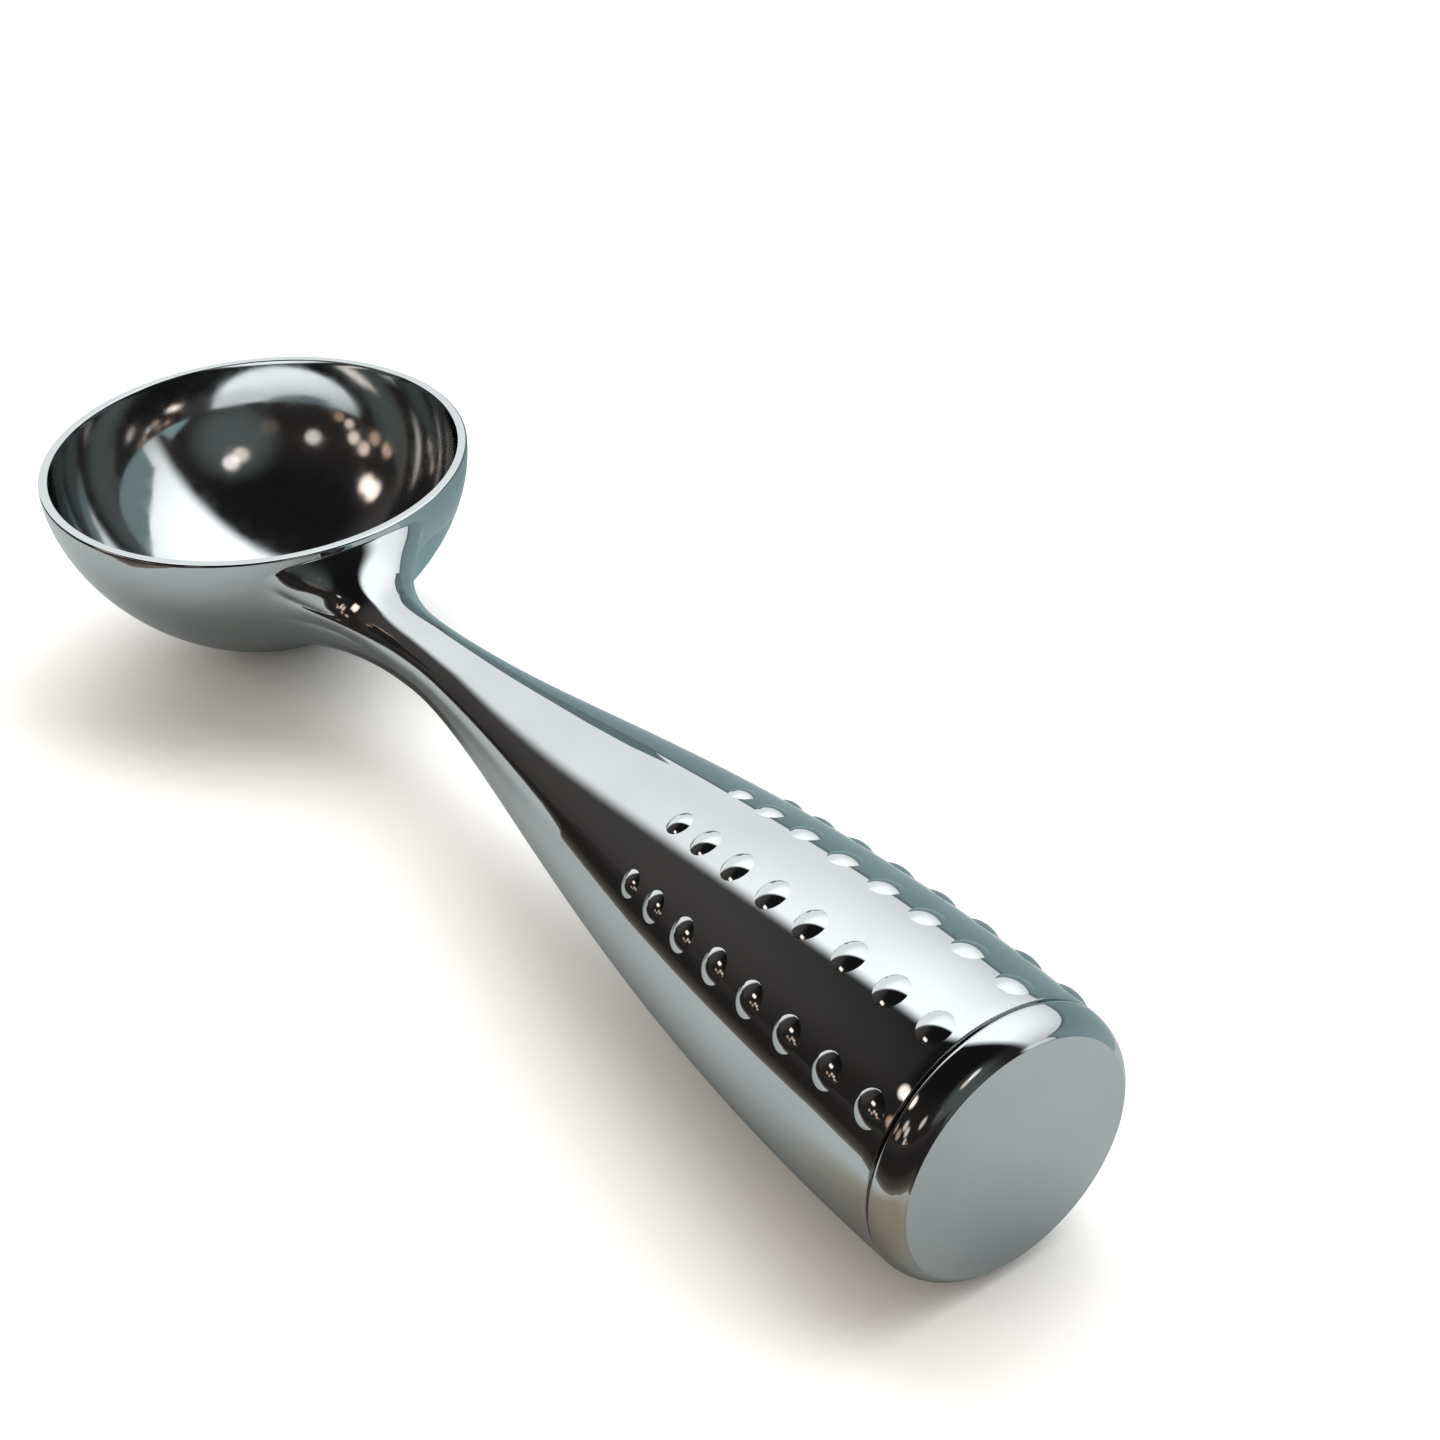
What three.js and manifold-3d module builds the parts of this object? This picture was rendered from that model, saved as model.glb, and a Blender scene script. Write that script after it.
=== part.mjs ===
// Dipping scoop: one casting with bowl, neck and grip, an end cap and the cap's seal ring.
// Millimetres, +Z up. The scoop lies on z = 0, on its bowl and on the wide part of its grip.
import * as THREE from 'three';
import { mergeGeometries, mergeVertices } from 'three/addons/utils/BufferGeometryUtils.js';
import Module from 'manifold-3d';

const wasm = await Module();
wasm.setup();

// Bowl, in the rim's own frame: rim plane at z = 0, bowl axis on Z, grip towards +X
const RIM_RADIUS = 30;
const BOWL_DEPTH = 28.5;
const WALL_DROP = 0.48 * BOWL_DEPTH;
const FLOOR_REACH = 0.507 * RIM_RADIUS;
const RIM_WALL = 1.35;
const FLOOR_WALL = 2.6;
const RIM_EDGE = 0.3;

// Grip axis: under the rim plane at the bowl's centre, rising slightly towards the end
const AXIS_DROP = 0.342 * BOWL_DEPTH;
const AXIS_RISE = THREE.MathUtils.degToRad(2.36);

// Grip outline along that axis, measured from the bowl's centre
const NECK_RADIUS = 4.65;
const NECK_REACH = 19;
const NECK_AT = RIM_RADIUS + NECK_REACH;
const NECK_PULL = 25.3;
const GRIP_LENGTH = 109.4;
const GRIP_END_AT = NECK_AT + GRIP_LENGTH;
const GRIP_END_RADIUS = 15.3;
const GRIP_SWELL = 1.53;
const SWELL_RADIUS = GRIP_END_RADIUS + GRIP_SWELL;
const SWELL_FROM_END = 50.3;
const SWELL_AT = GRIP_END_AT - SWELL_FROM_END;

// Near the bowl the neck sinks a little below the straight axis
const NECK_SAG = 0.6;
const SAG_LENGTH = 13;

// Flare where the neck runs into the bowl, as shares of the bowl's half section
const FLARE_CENTRE = 0.69;
const FLARE_HALF_HEIGHT = 0.298;
const FLARE_HALF_WIDTH = 0.42;
const FLARE_TOP_WIDER = 0.18;
const FLARE_CORNERS = 0.1;

// How strongly the flare's curves hold on to the neck and to the bowl, at the sides, right over the axis
// and right under it. The extra pull at the shoulders keeps the ridge on top as round as the neck.
const FLARE_NECK_PULL = 0.93 * RIM_RADIUS;
const FLARE_NECK_PULL_OVER = RIM_RADIUS;
const FLARE_NECK_PULL_UNDER = 0.8 * RIM_RADIUS;
const FLARE_SHOULDER_PULL = 3.6 * RIM_RADIUS;
const FLARE_BOWL_PULL = 0.93 * RIM_RADIUS;
const FLARE_BOWL_PULL_OVER = 0.47 * RIM_RADIUS;
const FLARE_BOWL_PULL_UNDER = 0.67 * RIM_RADIUS;

// At the rim the flare starts with a slope of its own instead of following the upright wall
const FLARE_LIFT = THREE.MathUtils.degToRad(46);

// Cored hole in the grip, open at the end
const GRIP_WALL = 4.1;
const BORE_RADIUS = GRIP_END_RADIUS - GRIP_WALL;
const BORE_TIP_RADIUS = 0.69 * NECK_RADIUS;
const BORE_STRAIGHT = 26;
const BORE_DEPTH = 74;

// Raised grip domes: rows on the grip's upper side, side by side, and rings along it
const DOME_ROWS = 4;
const DOME_ROW_STEP = THREE.MathUtils.degToRad(36);
const DOME_RINGS = 8;
const DOME_RADIUS = 1.74;
const DOME_FIRST_RADIUS = 1.45;
const DOME_HEIGHT = 0.25 * DOME_RADIUS;
const DOME_PITCH = 6.3;
const DOME_FIRST_PITCH = 5;
const DOME_LAST_FROM_END = 2.8;
const DOME_SINK = 0.8;

// End cap and its seal
const CLEARANCE = 0.3;
const CAP_BAND = 3.5;
const CAP_STEP = 1.8;
const CAP_FACE_RADIUS = GRIP_END_RADIUS - CAP_STEP;
const CAP_EDGE = 0.16;
const CAP_BREAK = 0.2;
const CAP_BULGE = 1.1;
const SPIGOT_RADIUS = BORE_RADIUS - CLEARANCE;
const SPIGOT_LENGTH = 8;
const SPIGOT_CHAMFER = 0.5;
const SEAL_SECTION = 0.65;
const SEAL_RADIUS = BORE_RADIUS - CLEARANCE - SEAL_SECTION;
const GROOVE_RADIUS = SEAL_RADIUS - SEAL_SECTION - CLEARANCE;
const GROOVE_HALF = SEAL_SECTION + CLEARANCE;
const GROOVE_FROM_SHOULDER = 0.55 * SPIGOT_LENGTH;

// Facets
const AROUND = 40;

const AXIS = new THREE.Vector3(Math.cos(AXIS_RISE), 0, Math.sin(AXIS_RISE));
const AXIS_UP = new THREE.Vector3(-Math.sin(AXIS_RISE), 0, Math.cos(AXIS_RISE));
const AXIS_SIDE = new THREE.Vector3(0, 1, 0);
const AXIS_START = new THREE.Vector3(0, 0, -AXIS_DROP);

// Half section of the bowl's outside, from its lowest point up to the rim's edge
const bowlSection = new THREE.CubicBezierCurve(
  new THREE.Vector2(0, -BOWL_DEPTH),
  new THREE.Vector2(FLOOR_REACH, -BOWL_DEPTH),
  new THREE.Vector2(RIM_RADIUS, -WALL_DROP),
  new THREE.Vector2(RIM_RADIUS, -RIM_EDGE)
);
bowlSection.arcLengthDivisions = 1000;

// Half section of the bowl's inside, from the rim down to the floor
const insideSection = new THREE.CubicBezierCurve(
  new THREE.Vector2(RIM_RADIUS - RIM_WALL, -RIM_EDGE),
  new THREE.Vector2(RIM_RADIUS - RIM_WALL, -WALL_DROP),
  new THREE.Vector2(FLOOR_REACH, FLOOR_WALL - BOWL_DEPTH),
  new THREE.Vector2(0, FLOOR_WALL - BOWL_DEPTH)
);

// Outline of the grip: place on the axis and radius there
const gripSection = new THREE.CubicBezierCurve(
  new THREE.Vector2(NECK_AT, NECK_RADIUS),
  new THREE.Vector2(NECK_AT + NECK_PULL, NECK_RADIUS),
  new THREE.Vector2(SWELL_AT, SWELL_RADIUS),
  new THREE.Vector2(GRIP_END_AT, GRIP_END_RADIUS)
);

// The grip's place and radius at a given distance along the axis
function gripAt(along) {
  let low = 0;
  let high = 1;
  for (let i = 0; i < 40; i += 1) {
    const middle = (low + high) / 2;
    if (gripSection.getPoint(middle).x < along) {
      low = middle;
    } else {
      high = middle;
    }
  }
  const slope = gripSection.getTangent(low);
  return { radius: gripSection.getPoint(low).y, slope: slope.y / slope.x };
}

// How far the neck's middle lies below the axis
function sagAt(along) {
  return NECK_SAG * Math.max(0, 1 - (along - NECK_AT) / SAG_LENGTH) ** 2;
}

function onAxis(along, out, angle) {
  return AXIS_START.clone()
    .addScaledVector(AXIS, along)
    .addScaledVector(AXIS_UP, -sagAt(along))
    .addScaledVector(AXIS_SIDE, out * Math.cos(angle))
    .addScaledVector(AXIS_UP, out * Math.sin(angle));
}

function angleOf(step) {
  return (2 * Math.PI * step) / AROUND;
}

function axisRing(along, out) {
  return Array.from({ length: AROUND }, (_, j) => onAxis(along, out, angleOf(j)));
}

function bowlRing(out, height) {
  return Array.from({ length: AROUND }, (_, j) => {
    const angle = angleOf(j);
    return new THREE.Vector3(out * Math.sin(angle), out * Math.cos(angle), height);
  });
}

// A point on the bowl's outside: its lowest point is the middle of a disc, the rim the disc's edge
function onBowl(towardsGrip, sideways) {
  const share = Math.min(1, Math.hypot(towardsGrip, sideways));
  const turn = Math.atan2(sideways, towardsGrip);
  const point = bowlSection.getPointAt(share);
  return new THREE.Vector3(point.x * Math.cos(turn), point.x * Math.sin(turn), point.y);
}

// Which way the bowl's outside faces at such a point
function bowlFacing(towardsGrip, sideways) {
  const share = Math.min(1, Math.hypot(towardsGrip, sideways));
  const turn = Math.atan2(sideways, towardsGrip);
  const along = bowlSection.getTangentAt(share);
  return new THREE.Vector3(along.y * Math.cos(turn), along.y * Math.sin(turn), -along.x);
}

// Rings on the bowl's outside that grow from the flare's edge (0) to the rim (1)
function flarePlaces(grow) {
  return Array.from({ length: AROUND }, (_, j) => {
    const up = Math.sin(angleOf(j));
    const widening = 1 + FLARE_TOP_WIDER * up + FLARE_CORNERS * Math.max(0, up) ** 2;
    const halfHeight = THREE.MathUtils.lerp(FLARE_HALF_HEIGHT, 1, grow);
    const halfWidth = THREE.MathUtils.lerp(FLARE_HALF_WIDTH * widening, 1, grow);
    return [FLARE_CENTRE * (1 - grow) + halfHeight * up, halfWidth * Math.cos(angleOf(j))];
  });
}

function flareRing(grow) {
  return flarePlaces(grow).map((place) => onBowl(...place));
}

// The way the flare's curves run into the bowl: square to the flare's edge, along the wall at the sides
// and underneath, and lifted off the wall at the rim
function flareEnds() {
  const edge = flareRing(0);
  const middle = new THREE.Vector3();
  edge.forEach((point) => middle.addScaledVector(point, 1 / AROUND));
  return flarePlaces(0).map((place, j) => {
    const facing = bowlFacing(...place);
    const along = edge[(j + 1) % AROUND].clone().sub(edge[(j + AROUND - 1) % AROUND]);
    const end = facing.clone().cross(along).normalize();
    if (end.dot(edge[j].clone().sub(middle)) < 0) {
      end.negate();
    }
    const lift = FLARE_LIFT * THREE.MathUtils.smoothstep(Math.sin(angleOf(j)), 0.5, 0.95);
    return end.multiplyScalar(Math.cos(lift)).addScaledVector(facing, -Math.sin(lift));
  });
}

// Rings of the flare: each point runs along a smooth curve from the neck to the bowl's wall
function flareRings(count) {
  const start = axisRing(NECK_AT, NECK_RADIUS);
  const edge = flareRing(0);
  const ends = flareEnds();
  const down = AXIS.clone().addScaledVector(AXIS_UP, (2 * NECK_SAG) / SAG_LENGTH);
  const rings = [];
  for (let i = 1; i <= count; i += 1) {
    const t = i / count;
    const a = 1 - 10 * t ** 3 + 15 * t ** 4 - 6 * t ** 5;
    const b = t - 6 * t ** 3 + 8 * t ** 4 - 3 * t ** 5;
    const c = -4 * t ** 3 + 7 * t ** 4 - 3 * t ** 5;
    rings.push(start.map((from, j) => {
      const up = Math.sin(angleOf(j));
      const over = Math.max(0, up);
      const shoulder = FLARE_SHOULDER_PULL * over ** 4 * (1 - over ** 2);
      const neckEnd = up > 0 ? FLARE_NECK_PULL_OVER : FLARE_NECK_PULL_UNDER;
      const bowlEnd = up > 0 ? FLARE_BOWL_PULL_OVER : FLARE_BOWL_PULL_UNDER;
      const neckPull = THREE.MathUtils.lerp(FLARE_NECK_PULL, neckEnd, Math.abs(up)) + shoulder;
      const bowlPull = THREE.MathUtils.lerp(FLARE_BOWL_PULL, bowlEnd, Math.abs(up));
      return from.clone().multiplyScalar(a)
        .addScaledVector(down, -b * neckPull)
        .addScaledVector(edge[j], 1 - a)
        .addScaledVector(ends[j], c * bowlPull);
    }));
  }
  return rings;
}

// Closed body from rings, with a point at each end
function closedBody(first, rings, last) {
  const points = [first, ...rings.flat(), last];
  const index = [];
  const at = (i, j) => 1 + i * AROUND + (j % AROUND);
  for (let j = 0; j < AROUND; j += 1) {
    index.push(0, at(0, j), at(0, j + 1));
    for (let i = 0; i + 1 < rings.length; i += 1) {
      index.push(at(i, j), at(i + 1, j), at(i + 1, j + 1));
      index.push(at(i, j), at(i + 1, j + 1), at(i, j + 1));
    }
    index.push(at(rings.length - 1, j + 1), at(rings.length - 1, j), points.length - 1);
  }
  const geometry = new THREE.BufferGeometry().setFromPoints(points);
  geometry.setIndex(index);
  return facingOut(geometry);
}

// Turns all faces round when the body's volume comes out negative
function facingOut(geometry) {
  const p = geometry.getAttribute('position');
  const index = geometry.getIndex().array;
  const corners = [new THREE.Vector3(), new THREE.Vector3(), new THREE.Vector3()];
  let volume = 0;
  for (let i = 0; i < index.length; i += 3) {
    corners.forEach((corner, k) => corner.fromBufferAttribute(p, index[i + k]));
    volume += corners[0].dot(corners[1].clone().cross(corners[2])) / 6;
  }
  if (volume < 0) {
    for (let i = 0; i < index.length; i += 3) {
      [index[i + 1], index[i + 2]] = [index[i + 2], index[i + 1]];
    }
  }
  return geometry;
}

function bare(geometry) {
  geometry.deleteAttribute('normal');
  geometry.deleteAttribute('uv');
  return facingOut(mergeVertices(geometry, 1e-4));
}

function toSolid(geometry) {
  return new wasm.Manifold(new wasm.Mesh({
    numProp: 3,
    vertProperties: new Float32Array(geometry.getAttribute('position').array),
    triVerts: new Uint32Array(geometry.getIndex().array),
  }));
}

function toGeometry(solid) {
  const mesh = solid.getMesh();
  const geometry = new THREE.BufferGeometry();
  geometry.setAttribute('position', new THREE.BufferAttribute(new Float32Array(mesh.vertProperties), 3));
  geometry.setIndex(Array.from(mesh.triVerts));
  return mergeVertices(geometry, 1e-4);
}

// The casting without its domes: bore, end, grip, flare, bowl outside, rim, bowl inside
function castingBody() {
  const rings = [];
  const tipAt = GRIP_END_AT - BORE_DEPTH;
  const straightFrom = GRIP_END_AT - BORE_STRAIGHT;
  rings.push(axisRing(tipAt + 0.4 * BORE_TIP_RADIUS, 0.75 * BORE_TIP_RADIUS));
  rings.push(axisRing(tipAt + BORE_TIP_RADIUS, BORE_TIP_RADIUS));
  for (let i = 1; i <= 4; i += 1) {
    const along = THREE.MathUtils.lerp(tipAt + BORE_TIP_RADIUS, straightFrom, i / 4);
    rings.push(axisRing(along, THREE.MathUtils.lerp(BORE_TIP_RADIUS, BORE_RADIUS, i / 4)));
  }
  rings.push(axisRing(GRIP_END_AT - SPIGOT_LENGTH, BORE_RADIUS));
  rings.push(axisRing(GRIP_END_AT, BORE_RADIUS));
  const gripSteps = 16;
  for (let i = 0; i <= gripSteps; i += 1) {
    const point = gripSection.getPoint(1 - i / gripSteps);
    rings.push(axisRing(point.x, point.y));
  }
  rings.push(...flareRings(14));
  const wallSteps = 10;
  for (let i = 1; i <= wallSteps; i += 1) {
    rings.push(flareRing((i / wallSteps) ** 1.3));
  }
  rings.push(bowlRing(RIM_RADIUS - 0.3 * RIM_EDGE, -0.3 * RIM_EDGE));
  rings.push(bowlRing(RIM_RADIUS - RIM_EDGE, 0));
  rings.push(bowlRing(RIM_RADIUS - RIM_WALL + 0.6 * RIM_EDGE, 0));
  const floorSteps = 11;
  for (let i = 0; i < floorSteps; i += 1) {
    const point = insideSection.getPoint(i / floorSteps);
    rings.push(bowlRing(point.x, point.y));
  }
  const tip = AXIS_START.clone().addScaledVector(AXIS, tipAt);
  const floor = new THREE.Vector3(0, 0, FLOOR_WALL - BOWL_DEPTH);
  return closedBody(tip, rings, floor);
}

// Where each ring of domes sits: even pitch, closing up a little towards the neck
function domeRings() {
  const rings = [];
  let along = GRIP_END_AT - DOME_LAST_FROM_END;
  for (let i = DOME_RINGS - 1; i >= 0; i -= 1) {
    const near = Math.max(0, 1 - i / 3) ** 2;
    rings.unshift({ along, radius: THREE.MathUtils.lerp(DOME_RADIUS, DOME_FIRST_RADIUS, near) });
    const narrower = Math.max(0, 1 - (i - 1) / 2.5) ** 2;
    along -= THREE.MathUtils.lerp(DOME_PITCH, DOME_FIRST_PITCH, Math.min(1, narrower));
  }
  return rings;
}

// One dome: a shallow round cap with a plug under it that sinks into the grip
function dome(radius) {
  const ball = (radius ** 2 + DOME_HEIGHT ** 2) / (2 * DOME_HEIGHT);
  const half = Math.asin(radius / ball);
  const profile = [
    new THREE.Vector2(0, -DOME_SINK),
    new THREE.Vector2(radius, -DOME_SINK),
    new THREE.Vector2(radius, 0),
  ];
  for (let i = 1; i >= 0; i -= 1) {
    const lean = (half * i) / 2;
    profile.push(new THREE.Vector2(ball * Math.sin(lean), ball * (Math.cos(lean) - 1) + DOME_HEIGHT));
  }
  return bare(new THREE.LatheGeometry(profile, 10));
}

function gripDomes() {
  const domes = [];
  const up = new THREE.Vector3(0, 1, 0);
  for (const ring of domeRings()) {
    const { radius, slope } = gripAt(ring.along);
    for (let i = 0; i < DOME_ROWS; i += 1) {
      const angle = Math.PI / 2 + (i - (DOME_ROWS - 1) / 2) * DOME_ROW_STEP;
      const place = onAxis(ring.along, radius, angle);
      const outward = AXIS_SIDE.clone().multiplyScalar(Math.cos(angle))
        .addScaledVector(AXIS_UP, Math.sin(angle))
        .addScaledVector(AXIS, -slope)
        .normalize();
      const turn = new THREE.Matrix4().makeRotationFromQuaternion(
        new THREE.Quaternion().setFromUnitVectors(up, outward)
      );
      domes.push(dome(ring.radius).applyMatrix4(turn.setPosition(place)));
    }
  }
  return mergeGeometries(domes);
}

// Turned piece: profile points are (radius, place on the axis)
function turned(profile) {
  const geometry = bare(new THREE.LatheGeometry(profile, AROUND));
  const turn = new THREE.Matrix4().makeBasis(AXIS_UP, AXIS, AXIS_SIDE);
  return geometry.applyMatrix4(turn.setPosition(AXIS_START));
}

function endCap() {
  const shoulder = GRIP_END_AT + CLEARANCE;
  const face = shoulder + CAP_BAND;
  const groove = shoulder - GROOVE_FROM_SHOULDER;
  const tip = shoulder - SPIGOT_LENGTH;
  const band = new THREE.QuadraticBezierCurve(
    new THREE.Vector2(GRIP_END_RADIUS, shoulder + CAP_BREAK),
    new THREE.Vector2(GRIP_END_RADIUS - CAP_BREAK, face - CAP_BULGE),
    new THREE.Vector2(CAP_FACE_RADIUS + CAP_EDGE, face - CAP_EDGE)
  );
  return turned([
    new THREE.Vector2(0, tip),
    new THREE.Vector2(SPIGOT_RADIUS - SPIGOT_CHAMFER, tip),
    new THREE.Vector2(SPIGOT_RADIUS, tip + SPIGOT_CHAMFER),
    new THREE.Vector2(SPIGOT_RADIUS, groove - GROOVE_HALF),
    new THREE.Vector2(GROOVE_RADIUS, groove - GROOVE_HALF),
    new THREE.Vector2(GROOVE_RADIUS, groove + GROOVE_HALF),
    new THREE.Vector2(SPIGOT_RADIUS, groove + GROOVE_HALF),
    new THREE.Vector2(SPIGOT_RADIUS, shoulder),
    new THREE.Vector2(GRIP_END_RADIUS - CAP_BREAK, shoulder),
    ...band.getPoints(5),
    new THREE.Vector2(CAP_FACE_RADIUS, face),
    new THREE.Vector2(0, face),
  ]);
}

function sealRing() {
  const groove = GRIP_END_AT + CLEARANCE - GROOVE_FROM_SHOULDER;
  const profile = Array.from({ length: 9 }, (_, i) => {
    const angle = (2 * Math.PI * (i % 8)) / 8;
    return new THREE.Vector2(
      SEAL_RADIUS + SEAL_SECTION * Math.cos(angle),
      groove + SEAL_SECTION * Math.sin(angle)
    );
  });
  return turned(profile);
}

// Turn about Y that lets the bowl and the grip touch the same level ground
function restTurn() {
  const under = [];
  const bowl = [];
  for (let i = 0; i <= 200; i += 1) {
    const g = gripSection.getPoint(i / 200);
    under.push(onAxis(g.x, g.y, -Math.PI / 2));
    const b = bowlSection.getPoint(i / 200);
    bowl.push(new THREE.Vector3(b.x, 0, b.y), new THREE.Vector3(-b.x, 0, b.y));
  }
  let low = -0.5;
  let high = 0.5;
  for (let i = 0; i < 50; i += 1) {
    const middle = (low + high) / 2;
    const normal = new THREE.Vector3(Math.sin(middle), 0, Math.cos(middle));
    const lowest = (points) => Math.min(...points.map((point) => point.dot(normal)));
    if (lowest(under) > lowest(bowl)) {
      high = middle;
    } else {
      low = middle;
    }
  }
  return -(low + high) / 2;
}

const chrome = new THREE.MeshStandardMaterial({ color: 0xc9cbcc, roughness: 0.08, metalness: 1 });
const satin = new THREE.MeshStandardMaterial({ color: 0xb4b8ba, roughness: 0.2, metalness: 1 });
const rubber = new THREE.MeshStandardMaterial({ color: 0x1d1d1e, roughness: 0.7, metalness: 0 });

const casting = toGeometry(toSolid(castingBody()).add(toSolid(gripDomes())));
const pieces = [
  { name: 'casting', geometry: casting, material: chrome },
  { name: 'end_cap', geometry: endCap(), material: satin },
  { name: 'seal_ring', geometry: sealRing(), material: rubber },
];

// Everything is turned to rest, then set down on z = 0 with the middle of its length over the origin
const rest = new THREE.Matrix4().makeRotationY(restTurn());
const box = new THREE.Box3();
for (const piece of pieces) {
  piece.geometry.applyMatrix4(rest);
  piece.geometry.computeBoundingBox();
  box.union(piece.geometry.boundingBox);
}
const scoop = new THREE.Group();
for (const piece of pieces) {
  piece.geometry.translate(-(box.min.x + box.max.x) / 2, 0, -box.min.z);
  piece.geometry.computeVertexNormals();
  const mesh = new THREE.Mesh(piece.geometry, piece.material);
  mesh.name = piece.name;
  scoop.add(mesh);
}

export default scoop;
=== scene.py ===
# %% [markdown]
# # A plated dipping scoop
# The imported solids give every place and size. They are flat facets, though, and a mirror finish shows
# each facet, so the visible shells are made again here, fine and smooth, from the same few numbers.

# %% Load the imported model
import math

import bmesh
import bpy
import numpy as np
from mathutils import Matrix, Quaternion, Vector


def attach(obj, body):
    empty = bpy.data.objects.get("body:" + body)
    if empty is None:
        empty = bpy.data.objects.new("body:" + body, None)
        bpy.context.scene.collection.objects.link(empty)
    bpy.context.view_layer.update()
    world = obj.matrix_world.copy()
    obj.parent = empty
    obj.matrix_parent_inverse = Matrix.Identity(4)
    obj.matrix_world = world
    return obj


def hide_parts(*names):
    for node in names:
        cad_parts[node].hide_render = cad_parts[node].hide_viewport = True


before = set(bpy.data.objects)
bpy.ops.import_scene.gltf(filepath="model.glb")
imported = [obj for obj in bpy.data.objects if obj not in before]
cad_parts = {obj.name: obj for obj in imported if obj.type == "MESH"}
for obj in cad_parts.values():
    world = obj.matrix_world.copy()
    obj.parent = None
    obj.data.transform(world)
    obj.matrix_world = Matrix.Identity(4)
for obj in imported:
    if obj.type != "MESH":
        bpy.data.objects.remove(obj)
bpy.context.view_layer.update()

MM = 0.001

# %% [markdown]
# The rim's own frame is the easiest one to think in: the rim lies flat, the bowl's axis stands upright in
# its middle, and the grip runs off towards +X. The lengths are in millimetres and match the solids.

# %% Sizes of the casting
RIM_RADIUS = 30.0
BOWL_DEPTH = 28.5
WALL_DROP = 0.48 * BOWL_DEPTH
FLOOR_REACH = 0.507 * RIM_RADIUS
RIM_WALL = 1.35
FLOOR_WALL = 2.6
RIM_EDGE = 0.3
INNER_EDGE = 0.18
AXIS_DROP = 0.342 * BOWL_DEPTH
AXIS_RISE = math.radians(2.36)
NECK_RADIUS = 4.65
NECK_REACH = 19.0
NECK_AT = RIM_RADIUS + NECK_REACH
NECK_PULL = 25.3
NECK_SAG = 0.6
SAG_LENGTH = 13.0
GRIP_LENGTH = 109.4
GRIP_END_AT = NECK_AT + GRIP_LENGTH
GRIP_END_RADIUS = 15.3
GRIP_SWELL = 1.53
SWELL_RADIUS = GRIP_END_RADIUS + GRIP_SWELL
SWELL_FROM_END = 50.3
SWELL_AT = GRIP_END_AT - SWELL_FROM_END
GRIP_WALL = 4.1
BORE_RADIUS = GRIP_END_RADIUS - GRIP_WALL
BORE_DEPTH = 74.0
BORE_TIP_RADIUS = 0.69 * NECK_RADIUS
BORE_STRAIGHT = 26.0

# points around a ring
AROUND = 160

AXIS = np.array([math.cos(AXIS_RISE), 0.0, math.sin(AXIS_RISE)])
AXIS_UP = np.array([-math.sin(AXIS_RISE), 0.0, math.cos(AXIS_RISE)])
AXIS_SIDE = np.array([0.0, 1.0, 0.0])
AXIS_START = np.array([0.0, 0.0, -AXIS_DROP])
TURN = np.arange(AROUND) * 2 * math.pi / AROUND
print("length of the casting along its axis, mm:", round(RIM_RADIUS + GRIP_END_AT, 1))


# %% [markdown]
# The object has three outlines: the bowl's outside, the bowl's inside and the grip. A designer would draw
# each as one curve with two handles, so each is a cubic Bezier curve. The bowl's outside is read by its
# length from the lowest point, so that rings on it are evenly spaced.

# %% Outlines
def bezier(corners, t):
    a, b, c, d = (np.array(p, float) for p in corners)
    t = np.asarray(t, float)[..., None]
    return (1 - t) ** 3 * a + 3 * (1 - t) ** 2 * t * b + 3 * (1 - t) * t ** 2 * c + t ** 3 * d


OUTSIDE = [(0, -BOWL_DEPTH), (FLOOR_REACH, -BOWL_DEPTH), (RIM_RADIUS, -WALL_DROP), (RIM_RADIUS, -RIM_EDGE)]
INSIDE = [
    (RIM_RADIUS - RIM_WALL, -INNER_EDGE),
    (RIM_RADIUS - RIM_WALL, -WALL_DROP),
    (FLOOR_REACH, FLOOR_WALL - BOWL_DEPTH),
    (0, FLOOR_WALL - BOWL_DEPTH),
]
GRIP = [
    (NECK_AT, NECK_RADIUS),
    (NECK_AT + NECK_PULL, NECK_RADIUS),
    (SWELL_AT, SWELL_RADIUS),
    (GRIP_END_AT, GRIP_END_RADIUS),
]
FINE_STEPS = 4000
fine = np.linspace(0, 1, FINE_STEPS + 1)
outside_points = bezier(OUTSIDE, fine)
outside_length = np.concatenate([[0], np.cumsum(np.hypot(*np.diff(outside_points, axis=0).T))])
outside_share = outside_length / outside_length[-1]
grip_points = bezier(GRIP, fine)


def grip_radius(along):
    return np.interp(along, grip_points[:, 0], grip_points[:, 1])


def grip_slope(along):
    step = 0.05
    return (grip_radius(along + step) - grip_radius(along - step)) / (2 * step)


print("bowl section, mm:", round(outside_length[-1], 2))
print("widest grip, mm:", round(grip_points[:, 1].max() * 2, 2))


# %% [markdown]
# The casting is built as rings of points, one after the other, from the middle of the bowl's floor over
# the rim, down the outside, through the flare into the neck and along the grip into the bore. The flare is
# the hard part. Its edge is an oval on the bowl's wall, widest towards the rim, and from each point of the
# oval a smooth curve runs to the neck. At the sides and underneath it leaves along the wall, as a cast
# fillet does. At the rim there is no wall left to follow, so there it starts with a slope of its own. The
# pulls say how long each curve holds on to the neck and to the bowl. No boolean is needed, so no ragged
# triangles are left for the polish to show.

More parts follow.
